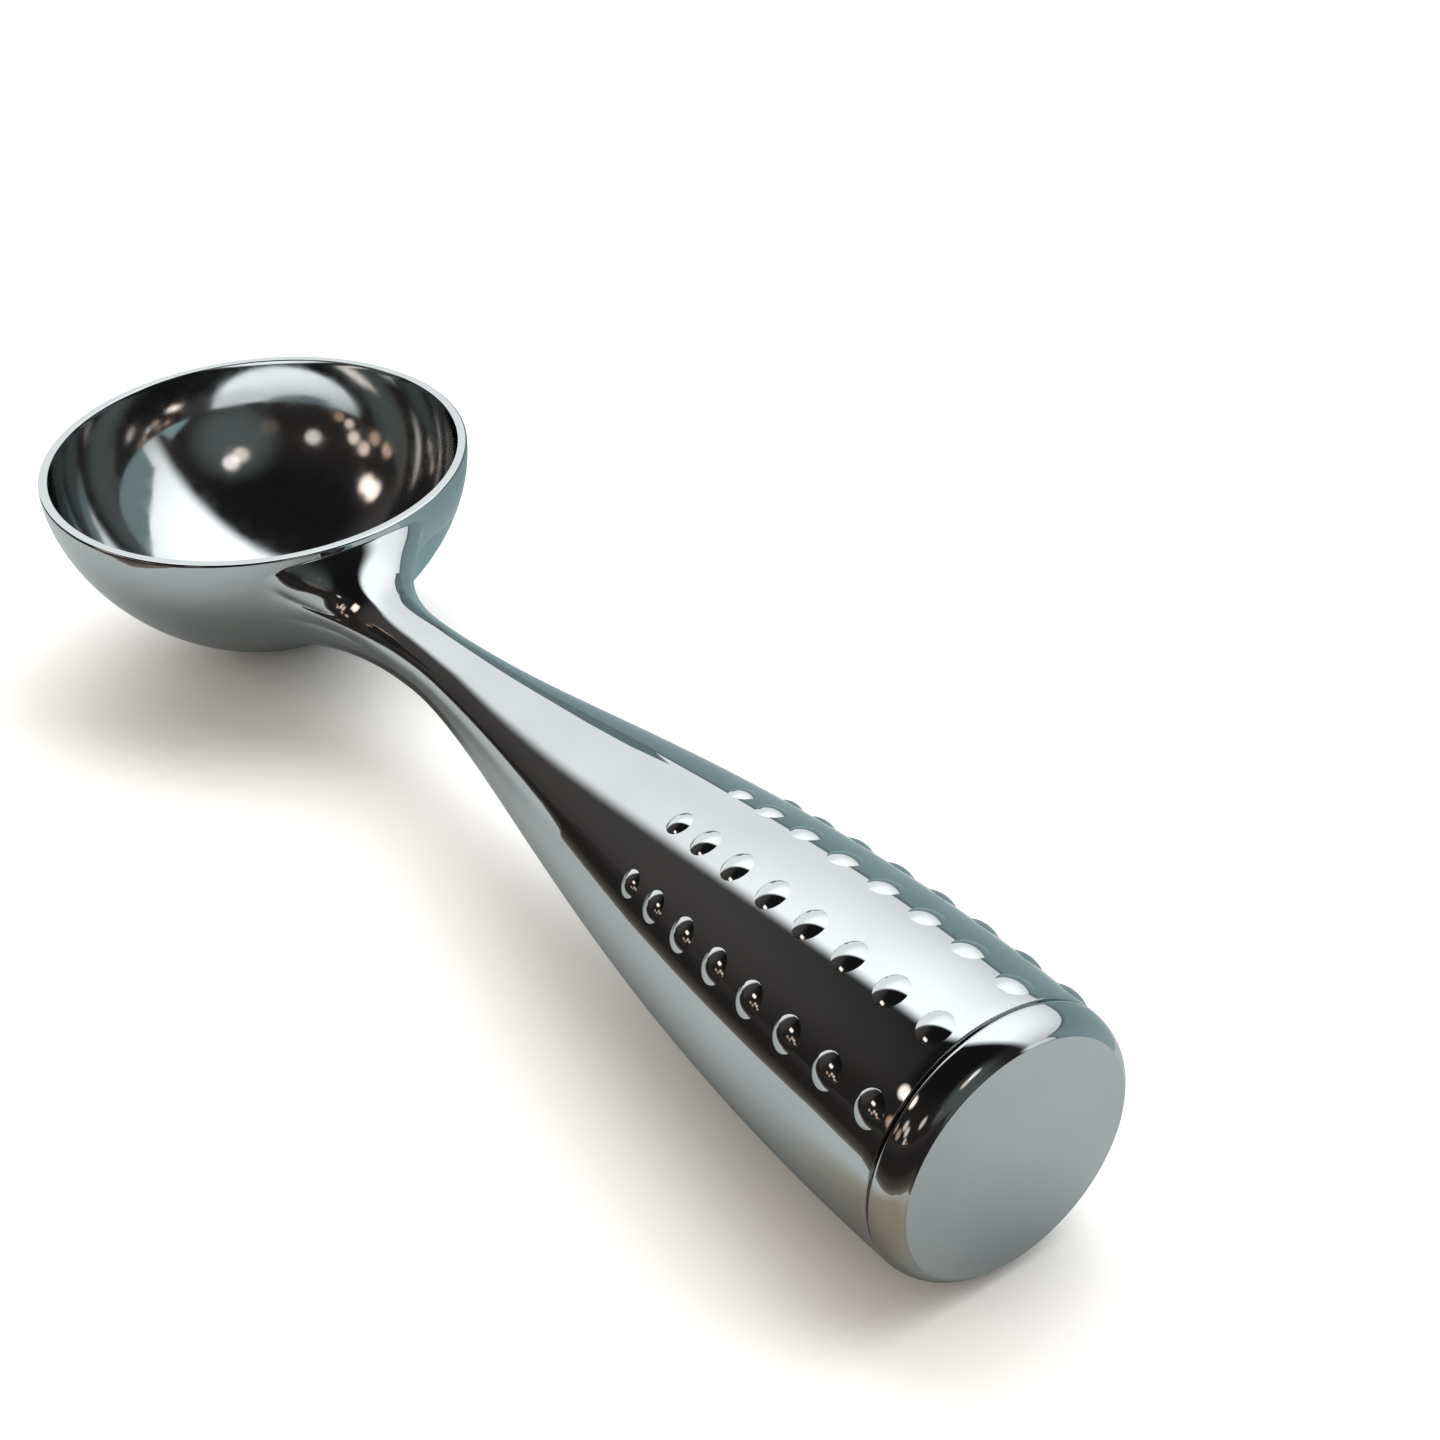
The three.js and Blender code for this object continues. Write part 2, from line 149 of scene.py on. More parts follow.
# %% Rings of the casting
FLARE_CENTRE = 0.69
FLARE_HALF_HEIGHT = 0.298
FLARE_HALF_WIDTH = 0.42
FLARE_TOP_WIDER = 0.18
FLARE_CORNERS = 0.1
FLARE_NECK_PULL = 0.93 * RIM_RADIUS
FLARE_NECK_PULL_OVER = RIM_RADIUS
FLARE_NECK_PULL_UNDER = 0.8 * RIM_RADIUS
FLARE_SHOULDER_PULL = 3.6 * RIM_RADIUS
FLARE_BOWL_PULL = 0.93 * RIM_RADIUS
FLARE_BOWL_PULL_OVER = 0.47 * RIM_RADIUS
FLARE_BOWL_PULL_UNDER = 0.67 * RIM_RADIUS
FLARE_LIFT = math.radians(46)
FLARE_LIFT_FROM = 0.5
FLARE_LIFT_FULL = 0.95
UPWARDS = np.sin(TURN)


def axis_ring(along, out):
    sag = NECK_SAG * max(0, 1 - (along - NECK_AT) / SAG_LENGTH) ** 2
    middle = AXIS_START + AXIS * along - AXIS_UP * sag
    return middle + out * (np.outer(np.cos(TURN), AXIS_SIDE) + np.outer(np.sin(TURN), AXIS_UP))


def bowl_ring(out, height):
    return np.stack([out * np.sin(TURN), out * np.cos(TURN), np.full(AROUND, height)], axis=1)


def wall_places(grow):
    """Places on the bowl's outside, as shares of its section, from the flare's edge (0) to the rim (1)."""
    widening = 1 + FLARE_TOP_WIDER * UPWARDS + FLARE_CORNERS * np.maximum(0, UPWARDS) ** 2
    u = FLARE_CENTRE * (1 - grow) + (FLARE_HALF_HEIGHT * (1 - grow) + grow) * UPWARDS
    v = (FLARE_HALF_WIDTH * widening * (1 - grow) + grow) * np.cos(TURN)
    return np.minimum(np.hypot(u, v), 1), np.arctan2(v, u)


def wall_ring(grow):
    share, turn = wall_places(grow)
    out = np.interp(share, outside_share, outside_points[:, 0])
    height = np.interp(share, outside_share, outside_points[:, 1])
    return np.stack([out * np.cos(turn), out * np.sin(turn), height], axis=1)


def wall_facing():
    """Which way the wall faces along the flare's edge."""
    share, turn = wall_places(0.0)
    way = np.gradient(outside_points, axis=0)
    way /= np.hypot(way[:, 0], way[:, 1])[:, None]
    out = np.interp(share, outside_share, way[:, 1])
    height = np.interp(share, outside_share, -way[:, 0])
    return np.stack([out * np.cos(turn), out * np.sin(turn), height], axis=1)


def flare_ends(edge):
    """The way the flare's curves run into the bowl, square to the flare's edge."""
    facing = wall_facing()
    end = np.cross(facing, np.roll(edge, -1, axis=0) - np.roll(edge, 1, axis=0))
    end /= np.linalg.norm(end, axis=1)[:, None]
    end *= np.sign(((edge - edge.mean(axis=0)) * end).sum(axis=1))[:, None]
    rise = np.clip((UPWARDS - FLARE_LIFT_FROM) / (FLARE_LIFT_FULL - FLARE_LIFT_FROM), 0, 1)
    lift = (FLARE_LIFT * rise ** 2 * (3 - 2 * rise))[:, None]
    return end * np.cos(lift) - facing * np.sin(lift)


def flare_rings(count):
    """Rings from the neck (left out) to the flare's edge on the wall, along curves that end straight."""
    start = axis_ring(NECK_AT, NECK_RADIUS)
    edge = wall_ring(0.0)
    ends = flare_ends(edge)
    up = UPWARDS[:, None]
    over = np.maximum(0, up)
    neck_end = np.where(up > 0, FLARE_NECK_PULL_OVER, FLARE_NECK_PULL_UNDER)
    bowl_end = np.where(up > 0, FLARE_BOWL_PULL_OVER, FLARE_BOWL_PULL_UNDER)
    neck_pull = FLARE_NECK_PULL + (neck_end - FLARE_NECK_PULL) * np.abs(up)
    neck_pull = neck_pull + FLARE_SHOULDER_PULL * over ** 4 * (1 - over ** 2)
    bowl_pull = FLARE_BOWL_PULL + (bowl_end - FLARE_BOWL_PULL) * np.abs(up)
    neck_way = AXIS + AXIS_UP * 2 * NECK_SAG / SAG_LENGTH
    rings = []
    for t in np.arange(1, count + 1) / count:
        a = 1 - 10 * t ** 3 + 15 * t ** 4 - 6 * t ** 5
        b = t - 6 * t ** 3 + 8 * t ** 4 - 3 * t ** 5
        c = -4 * t ** 3 + 7 * t ** 4 - 3 * t ** 5
        rings.append(a * start - b * neck_pull * neck_way + (1 - a) * edge + c * bowl_pull * ends)
    return rings


def quarter_round(centre_out, centre_height, radius, from_angle, to_angle, steps):
    angles = np.linspace(from_angle, to_angle, steps + 1)
    return [(centre_out + radius * math.cos(a), centre_height + radius * math.sin(a)) for a in angles]


BOWL_RINGS = 80
FLARE_RINGS = 64
GRIP_RINGS = 100
CLOSER_AT_FLARE = 1.3
FLAT_INSET = 0.04
END_EDGE = 0.12
SMALL_EDGE_STEPS = 4
RIM_EDGE_STEPS = 6
BORE_NOSE_RADIUS = 0.75 * BORE_TIP_RADIUS
BORE_NOSE_LENGTH = 0.4 * BORE_TIP_RADIUS
inside = [bowl_ring(*p) for p in bezier(INSIDE, np.linspace(0, 1, BOWL_RINGS + 1)[:-1])[::-1]]
inner_edge_at = RIM_RADIUS - RIM_WALL + INNER_EDGE
rim = quarter_round(inner_edge_at, -INNER_EDGE, INNER_EDGE, math.pi, math.pi / 2, SMALL_EDGE_STEPS)[1:]
rim += [(inner_edge_at + FLAT_INSET, 0.0), (RIM_RADIUS - RIM_EDGE - FLAT_INSET, 0.0)]
rim += quarter_round(RIM_RADIUS - RIM_EDGE, -RIM_EDGE, RIM_EDGE, math.pi / 2, 0, RIM_EDGE_STEPS)
rim = [bowl_ring(*p) for p in rim]
wall = [wall_ring(grow) for grow in (np.arange(1, BOWL_RINGS) / BOWL_RINGS)[::-1] ** CLOSER_AT_FLARE]
flare = flare_rings(FLARE_RINGS)[::-1]
grip = [axis_ring(*p) for p in grip_points[:: FINE_STEPS // GRIP_RINGS][:-1]]
end_edge_out, end_edge_at = GRIP_END_RADIUS - END_EDGE, GRIP_END_AT - END_EDGE
end = quarter_round(end_edge_out, end_edge_at, END_EDGE, 0, math.pi / 2, SMALL_EDGE_STEPS)
end += [(BORE_RADIUS, GRIP_END_AT), (BORE_RADIUS, GRIP_END_AT - BORE_STRAIGHT)]
end += [(BORE_TIP_RADIUS, GRIP_END_AT - BORE_DEPTH + BORE_TIP_RADIUS)]
end += [(BORE_NOSE_RADIUS, GRIP_END_AT - BORE_DEPTH + BORE_NOSE_LENGTH)]
end = [axis_ring(along, out) for out, along in end]
rings = inside + rim + wall + flare + grip + end
bowl_floor = np.array([0.0, 0.0, FLOOR_WALL - BOWL_DEPTH])
bore_tip = AXIS_START + AXIS * (GRIP_END_AT - BORE_DEPTH)
print("rings:", len(rings), "of", AROUND, "points")

# %% [markdown]
# The scoop lies on its bowl and on the wide part of its grip, so the whole thing is turned until both
# touch the same level ground. The turn is found by halving, and the shift puts the middle of the length,
# from the bowl's rim to the end cap's face, over the origin, as in the solids.

# %% Laying it down
CAP_CLEARANCE = 0.3
CAP_BAND = 3.5
CAP_STEP = 1.8
CAP_FACE_AT = GRIP_END_AT + CAP_CLEARANCE + CAP_BAND
CAP_FACE_RADIUS = GRIP_END_RADIUS - CAP_STEP
LEAN_LIMIT = 0.5
HALVINGS = 50
UPRIGHT_PLANE = [0, 2]
grip_middles = AXIS_START[UPRIGHT_PLANE] + np.outer(grip_points[:, 0], AXIS[UPRIGHT_PLANE])
grip_under = grip_middles - np.outer(grip_points[:, 1], AXIS_UP[UPRIGHT_PLANE])
bowl_under = np.concatenate([outside_points, outside_points * [-1, 1]])
low, high = -LEAN_LIMIT, LEAN_LIMIT
for _ in range(HALVINGS):
    lean = (low + high) / 2
    upright = np.array([math.sin(lean), math.cos(lean)])
    if (grip_under @ upright).min() > (bowl_under @ upright).min():
        high = lean
    else:
        low = lean
to_rest = Matrix.Rotation(-lean, 4, "Y")
far_left = min((to_rest @ Vector(p)).x for p in rings[len(inside) + len(rim) - 1])
far_right = (to_rest @ Vector(AXIS_START + AXIS * CAP_FACE_AT + AXIS_UP * CAP_FACE_RADIUS)).x
set_down = Vector((-(far_left + far_right) / 2, 0, -(bowl_under @ upright).min()))
TO_FRAME = Matrix.Scale(MM, 4) @ Matrix.Translation(set_down) @ to_rest
print("lean, degrees:", round(math.degrees(lean), 3), "set down by, mm:", [round(v, 3) for v in set_down])


# %% [markdown]
# Rings become a mesh with one four-sided face between each pair of neighbours, and a fan at each end. The
# faces are shaded smooth, and the bowl's inside gets a finish of its own, because polish never reaches the
# inside of a bowl as well as the outside.

# %% Casting mesh
def new_piece(name, mesh):
    piece = bpy.data.objects.new(name, mesh)
    bpy.context.scene.collection.objects.link(piece)
    return piece


def ring_mesh(name, first, rings, last):
    points = np.concatenate([[first], *rings, [last]])
    count = len(rings)
    faces = []
    for j in range(AROUND):
        k = (j + 1) % AROUND
        faces.append((0, 1 + k, 1 + j))
        for i in range(count - 1):
            here, there = 1 + i * AROUND, 1 + (i + 1) * AROUND
            faces.append((here + j, here + k, there + k, there + j))
        faces.append((len(points) - 1, 1 + (count - 1) * AROUND + j, 1 + (count - 1) * AROUND + k))
    mesh = bpy.data.meshes.new(name)
    mesh.from_pydata(points.tolist(), [], faces)
    mesh.transform(TO_FRAME)
    mesh.polygons.foreach_set("use_smooth", [True] * len(mesh.polygons))
    mesh.update()
    return mesh


casting_mesh = ring_mesh("scoop_casting", bowl_floor, rings, bore_tip)
inside_faces = np.zeros(len(casting_mesh.polygons), dtype=np.int32)
per_column = 1 + len(rings)
column = np.arange(len(casting_mesh.polygons)) % per_column
inside_faces[column < len(inside)] = 1
casting_mesh.polygons.foreach_set("material_index", inside_faces)
print("casting faces:", len(casting_mesh.polygons))

# %% [markdown]
# Two of the shapes are turned ones, a dome of the grip and the end cap. A turned piece follows a rule, so a
# node tree turns it: it reads the points of a drawn profile and lays them out around the axis.

# %% Node tree that turns a profile
def socket(tree, name, kind, default):
    made = tree.interface.new_socket(name, in_out="INPUT", socket_type=kind)
    if default is not None:
        made.default_value = default
    return made


def node(tree, kind, **settings):
    made = tree.nodes.new(kind)
    for name, value in settings.items():
        setattr(made, name, value)
    return made


def turning_tree():
    tree = bpy.data.node_groups.new("Turned profile", "GeometryNodeTree")
    socket(tree, "Geometry", "NodeSocketGeometry", None)
    socket(tree, "Points", "NodeSocketInt", 2)
    socket(tree, "Segments", "NodeSocketInt", 32)
    socket(tree, "Finish", "NodeSocketMaterial", None)
    tree.interface.new_socket("Geometry", in_out="OUTPUT", socket_type="NodeSocketGeometry")
    link = tree.links.new
    given = node(tree, "NodeGroupInput")
    columns = node(tree, "ShaderNodeMath", operation="ADD")
    link(given.outputs["Segments"], columns.inputs[0])
    columns.inputs[1].default_value = 1
    sheet = node(tree, "GeometryNodeMeshGrid")
    link(given.outputs["Points"], sheet.inputs["Vertices X"])
    link(columns.outputs[0], sheet.inputs["Vertices Y"])
    index = node(tree, "GeometryNodeInputIndex")
    row = node(tree, "ShaderNodeMath", operation="DIVIDE")
    link(index.outputs[0], row.inputs[0])
    link(columns.outputs[0], row.inputs[1])
    row_number = node(tree, "ShaderNodeMath", operation="FLOOR")
    link(row.outputs[0], row_number.inputs[0])
    place_in_row = node(tree, "ShaderNodeMath", operation="FLOORED_MODULO")
    link(index.outputs[0], place_in_row.inputs[0])
    link(columns.outputs[0], place_in_row.inputs[1])
    share = node(tree, "ShaderNodeMath", operation="DIVIDE")
    link(place_in_row.outputs[0], share.inputs[0])
    link(given.outputs["Segments"], share.inputs[1])
    angle = node(tree, "ShaderNodeMath", operation="MULTIPLY")
    link(share.outputs[0], angle.inputs[0])
    angle.inputs[1].default_value = 2 * math.pi
    position = node(tree, "GeometryNodeInputPosition")
    drawn = node(tree, "GeometryNodeSampleIndex", data_type="FLOAT_VECTOR", domain="POINT")
    link(given.outputs["Geometry"], drawn.inputs["Geometry"])
    link(position.outputs[0], drawn.inputs["Value"])
    link(row_number.outputs[0], drawn.inputs["Index"])
    spun = node(tree, "ShaderNodeVectorRotate", rotation_type="Z_AXIS")
    link(drawn.outputs["Value"], spun.inputs["Vector"])
    link(angle.outputs[0], spun.inputs["Angle"])
    place = node(tree, "GeometryNodeSetPosition")
    link(sheet.outputs["Mesh"], place.inputs["Geometry"])
    link(spun.outputs["Vector"], place.inputs["Position"])
    closed = node(tree, "GeometryNodeMergeByDistance")
    closed.inputs["Distance"].default_value = 0.001
    link(place.outputs["Geometry"], closed.inputs["Geometry"])
    smooth = node(tree, "GeometryNodeSetShadeSmooth")
    link(closed.outputs["Geometry"], smooth.inputs[0])
    real = node(tree, "GeometryNodeRealizeInstances")
    link(smooth.outputs[0], real.inputs["Geometry"])
    finish = node(tree, "GeometryNodeSetMaterial")
    link(real.outputs["Geometry"], finish.inputs["Geometry"])
    link(given.outputs["Finish"], finish.inputs["Material"])
    out = node(tree, "NodeGroupOutput")
    link(finish.outputs["Geometry"], out.inputs["Geometry"])
    return tree


def run_tree(holder, tree, values):
    """Puts a node tree on an object, sets its named inputs and returns the result as a plain mesh."""
    modifier = holder.modifiers.new(tree.name, "NODES")
    modifier.node_group = tree
    sockets = {item.name: item.identifier for item in tree.interface.items_tree if item.in_out == "INPUT"}
    for name, value in values.items():
        modifier[sockets[name]] = value
    evaluated = holder.evaluated_get(bpy.context.evaluated_depsgraph_get())
    mesh = bpy.data.meshes.new_from_object(evaluated)
    holder.modifiers.remove(modifier)
    return mesh


def turn_profile(name, profile, segments, finish):
    """A turned mesh from profile points (distance from the axis, place on the axis)."""
    drawn = bpy.data.meshes.new(name)
    drawn.from_pydata([(out, 0, along) for out, along in profile], [], [])
    holder = new_piece(name, drawn)
    sizes = {"Points": len(profile), "Segments": segments, "Finish": finish}
    mesh = run_tree(holder, turning_tree(), sizes)
    bpy.data.objects.remove(holder)
    return mesh


# %% [markdown]
# The grip has low round domes on its upper side that keep it from turning in a wet hand: four rows of
# eight. They repeat, so Geometry Nodes place them: eight stations along the axis are copied around it, each
# copy is pushed out to the grip's skin, and a turned dome is set there facing outwards. A dome is a shallow
# cap of a ball with a plug under it that sinks into the metal, so its edge stays crisp.

# %% Stations of the domes
DOME_ROWS = 4
DOME_ROW_STEP = math.radians(36)
DOME_RINGS = 8
DOME_RADIUS = 1.74
DOME_FIRST_RADIUS = 1.45
DOME_HEIGHT = 0.25 * DOME_RADIUS
DOME_SINK = 0.8
DOME_SKIRT = 0.2
DOME_PITCH = 6.3
DOME_FIRST_PITCH = 5.0
DOME_LAST_FROM_END = 2.8
# rings over which the domes reach their full size and their full spacing
DOME_GROWS_OVER = 3
DOME_SPREADS_OVER = 2.5
stations = []
along = GRIP_END_AT - DOME_LAST_FROM_END
for i in reversed(range(DOME_RINGS)):
    near = max(0, 1 - i / DOME_GROWS_OVER) ** 2
    stations.insert(0, (along, DOME_RADIUS + (DOME_FIRST_RADIUS - DOME_RADIUS) * near))
    narrower = min(1, max(0, 1 - (i - 1) / DOME_SPREADS_OVER) ** 2)
    along -= DOME_PITCH + (DOME_FIRST_PITCH - DOME_PITCH) * narrower
station_mesh = bpy.data.meshes.new("dome_stations")
station_mesh.from_pydata([tuple(AXIS_START + AXIS * s) for s, _ in stations], [], [])
for label, values in (
    ("grip_radius", [float(grip_radius(s)) for s, _ in stations]),
    ("grip_slope", [float(grip_slope(s)) for s, _ in stations]),
    ("dome_size", [r / DOME_RADIUS for _, r in stations]),
):
    station_mesh.attributes.new(label, "FLOAT", "POINT").data.foreach_set("value", values)
print("dome rings at, mm:", [round(s, 1) for s, _ in stations])


# %% Node tree that sets the domes
def dome_tree():
    tree = bpy.data.node_groups.new("Grip domes", "GeometryNodeTree")
    socket(tree, "Geometry", "NodeSocketGeometry", None)
    socket(tree, "Rows", "NodeSocketInt", DOME_ROWS)
    socket(tree, "Row step", "NodeSocketFloat", DOME_ROW_STEP)
    socket(tree, "Dome", "NodeSocketObject", None)
    socket(tree, "Axis", "NodeSocketVector", (1, 0, 0))
    socket(tree, "Up", "NodeSocketVector", (0, 0, 1))
    socket(tree, "Finish", "NodeSocketMaterial", None)
    tree.interface.new_socket("Geometry", in_out="OUTPUT", socket_type="NodeSocketGeometry")
    link = tree.links.new
    given = node(tree, "NodeGroupInput")
    copies = node(tree, "GeometryNodeDuplicateElements", domain="POINT")
    link(given.outputs["Geometry"], copies.inputs["Geometry"])
    link(given.outputs["Rows"], copies.inputs["Amount"])
    last = node(tree, "ShaderNodeMath", operation="SUBTRACT")
    link(given.outputs["Rows"], last.inputs[0])
    last.inputs[1].default_value = 1
    middle = node(tree, "ShaderNodeMath", operation="MULTIPLY")
    link(last.outputs[0], middle.inputs[0])
    middle.inputs[1].default_value = 0.5
    from_middle = node(tree, "ShaderNodeMath", operation="SUBTRACT")
    link(copies.outputs["Duplicate Index"], from_middle.inputs[0])
    link(middle.outputs[0], from_middle.inputs[1])
    turn = node(tree, "ShaderNodeMath", operation="MULTIPLY")
    link(from_middle.outputs[0], turn.inputs[0])
    link(given.outputs["Row step"], turn.inputs[1])
    outward = node(tree, "ShaderNodeVectorRotate", rotation_type="AXIS_ANGLE")
    link(given.outputs["Up"], outward.inputs["Vector"])
    link(given.outputs["Axis"], outward.inputs["Axis"])
    link(turn.outputs[0], outward.inputs["Angle"])
    named = {}
    for label in ("grip_radius", "grip_slope", "dome_size"):
        named[label] = node(tree, "GeometryNodeInputNamedAttribute", data_type="FLOAT")
        named[label].inputs["Name"].default_value = label
    push = node(tree, "ShaderNodeVectorMath", operation="SCALE")
    link(outward.outputs["Vector"], push.inputs[0])
    link(named["grip_radius"].outputs["Attribute"], push.inputs["Scale"])
    place = node(tree, "GeometryNodeSetPosition")
    link(copies.outputs["Geometry"], place.inputs["Geometry"])
    link(push.outputs["Vector"], place.inputs["Offset"])
    lean_back = node(tree, "ShaderNodeVectorMath", operation="SCALE")
    link(given.outputs["Axis"], lean_back.inputs[0])
    link(named["grip_slope"].outputs["Attribute"], lean_back.inputs["Scale"])
    facing = node(tree, "ShaderNodeVectorMath", operation="SUBTRACT")
    link(outward.outputs["Vector"], facing.inputs[0])
    link(lean_back.outputs["Vector"], facing.inputs[1])
    stand = node(tree, "FunctionNodeAlignRotationToVector", axis="Z")
    link(facing.outputs["Vector"], stand.inputs["Vector"])
    dome = node(tree, "GeometryNodeObjectInfo", transform_space="ORIGINAL")
    link(given.outputs["Dome"], dome.inputs["Object"])
    size = node(tree, "ShaderNodeCombineXYZ")
    link(named["dome_size"].outputs["Attribute"], size.inputs["X"])
    link(named["dome_size"].outputs["Attribute"], size.inputs["Y"])
    size.inputs["Z"].default_value = 1
    put = node(tree, "GeometryNodeInstanceOnPoints")
    link(place.outputs["Geometry"], put.inputs["Points"])
    link(dome.outputs["Geometry"], put.inputs["Instance"])
    link(stand.outputs["Rotation"], put.inputs["Rotation"])
    link(size.outputs["Vector"], put.inputs["Scale"])
    real = node(tree, "GeometryNodeRealizeInstances")
    link(put.outputs["Instances"], real.inputs["Geometry"])
    smooth = node(tree, "GeometryNodeSetShadeSmooth")
    link(real.outputs["Geometry"], smooth.inputs[0])
    finish = node(tree, "GeometryNodeSetMaterial")
    link(smooth.outputs[0], finish.inputs["Geometry"])
    link(given.outputs["Finish"], finish.inputs["Material"])
    out = node(tree, "NodeGroupOutput")
    link(finish.outputs["Geometry"], out.inputs["Geometry"])
    return tree


# %% [markdown]
# Bright plating is a thin layer of metal over polish. It takes its look from what it mirrors, so its own
# colour hardly varies: a faint cloudiness, a trace of polishing haze and a very slight waviness keep it
# from looking like a computer's perfect mirror.

# %% Plated finishes
def plating(name, tint_low, tint_high, haze_low, haze_high, wave):
    material = bpy.data.materials.new(name)
    material.use_nodes = True
    tree = material.node_tree
    tree.nodes.clear()
    link = tree.links.new
    where = node(tree, "ShaderNodeTexCoord")
    cloud = node(tree, "ShaderNodeTexNoise")
    cloud.inputs["Scale"].default_value = 70
    cloud.inputs["Detail"].default_value = 4
    link(where.outputs["Object"], cloud.inputs["Vector"])
    tint = node(tree, "ShaderNodeValToRGB")
    tint.color_ramp.elements[0].position = 0.3
    tint.color_ramp.elements[0].color = (*tint_low, 1)
    tint.color_ramp.elements[1].position = 0.7
    tint.color_ramp.elements[1].color = (*tint_high, 1)
    link(cloud.outputs["Fac"], tint.inputs["Fac"])
    polish = node(tree, "ShaderNodeTexNoise")
    polish.inputs["Scale"].default_value = 420
    polish.inputs["Detail"].default_value = 3
    link(where.outputs["Object"], polish.inputs["Vector"])
    haze = node(tree, "ShaderNodeMapRange")
    haze.inputs["From Min"].default_value = 0.35
    haze.inputs["From Max"].default_value = 0.65
    haze.inputs["To Min"].default_value = haze_low
    haze.inputs["To Max"].default_value = haze_high
    link(polish.outputs["Fac"], haze.inputs["Value"])
    ripple = node(tree, "ShaderNodeTexNoise")
    ripple.inputs["Scale"].default_value = 260
    ripple.inputs["Detail"].default_value = 1
    link(where.outputs["Object"], ripple.inputs["Vector"])
    bump = node(tree, "ShaderNodeBump")
    bump.inputs["Strength"].default_value = wave
    bump.inputs["Distance"].default_value = 0.0002
    link(ripple.outputs["Fac"], bump.inputs["Height"])
    shader = node(tree, "ShaderNodeBsdfPrincipled")
    shader.inputs["Metallic"].default_value = 1
    link(tint.outputs["Color"], shader.inputs["Base Color"])
    link(haze.outputs["Result"], shader.inputs["Roughness"])
    link(bump.outputs["Normal"], shader.inputs["Normal"])
    out = node(tree, "ShaderNodeOutputMaterial")
    link(shader.outputs["BSDF"], out.inputs["Surface"])
    return material


mirror_plate = plating("mirror_plate", (0.58, 0.59, 0.60), (0.63, 0.64, 0.645), 0.025, 0.05, 0.02)
bowl_plate = plating("bowl_plate", (0.67, 0.68, 0.69), (0.72, 0.73, 0.735), 0.07, 0.12, 0.03)
cap_plate = plating("cap_finish", (0.58, 0.59, 0.60), (0.63, 0.64, 0.645), 0.025, 0.05, 0.02)
print("finishes:", [m.name for m in (mirror_plate, bowl_plate, cap_plate)])


# %% Set the domes and join them to the casting
DOME_ARC_STEPS = 11
DOME_SEGMENTS = 32


def dome_profile():
    ball = (DOME_RADIUS ** 2 + DOME_HEIGHT ** 2) / (2 * DOME_HEIGHT)
    skirt_angle = math.acos((ball - DOME_HEIGHT - DOME_SKIRT) / ball)
    skirt_radius = ball * math.sin(skirt_angle)
    angles = np.linspace(skirt_angle, 0, DOME_ARC_STEPS + 1)
    cap = [(ball * math.sin(a), DOME_HEIGHT - ball * (1 - math.cos(a))) for a in angles]
    return [(0, -DOME_SINK), (skirt_radius, -DOME_SINK)] + cap


one_dome = new_piece("one_dome", turn_profile("dome_profile", dome_profile(), DOME_SEGMENTS, mirror_plate))
dome_holder = new_piece("dome_holder", station_mesh)
dome_sizes = {"Rows": DOME_ROWS, "Row step": DOME_ROW_STEP, "Axis": tuple(AXIS), "Up": tuple(AXIS_UP)}
dome_mesh = run_tree(dome_holder, dome_tree(), {**dome_sizes, "Dome": one_dome, "Finish": mirror_plate})
bpy.data.objects.remove(dome_holder)
bpy.data.objects.remove(one_dome)
dome_mesh.transform(TO_FRAME)
dome_piece = new_piece("scoop_domes", dome_mesh)
casting_mesh.materials.append(mirror_plate)
casting_mesh.materials.append(bowl_plate)
casting = new_piece("scoop_casting", casting_mesh)
bpy.context.view_layer.update()
joined = [casting, dome_piece]
with bpy.context.temp_override(
    active_object=casting, object=casting, selected_objects=joined, selected_editable_objects=joined
):
    bpy.ops.object.join()
print("casting with domes, faces:", len(casting.data.polygons))

# %% [markdown]
# The end cap is a turned piece: a short band that rounds over into a flat face, with a plug behind it that
# sits in the bore. The node tree that turned the dome turns it too.

# %% Sizes of the end cap
CAP_EDGE = 0.16
EDGE_MIDDLE_OUT = 0.06
EDGE_MIDDLE_BACK = 0.045
EDGE_INNER = 0.05
CAP_BREAK = 0.2
CAP_BULGE = 1.1
CAP_BAND_STEPS = 19
SPIGOT_CHAMFER = 0.5
SPIGOT_RADIUS = BORE_RADIUS - CAP_CLEARANCE
SPIGOT_LENGTH = 8.0
SEAL_SECTION = 0.65
SEAL_RADIUS = BORE_RADIUS - CAP_CLEARANCE - SEAL_SECTION
GROOVE_RADIUS = SEAL_RADIUS - SEAL_SECTION - CAP_CLEARANCE
GROOVE_HALF = SEAL_SECTION + CAP_CLEARANCE
GROOVE_FROM_SHOULDER = 0.55 * SPIGOT_LENGTH
print("across the plug and its groove, mm:", round(2 * SPIGOT_RADIUS, 2), round(2 * GROOVE_RADIUS, 2))


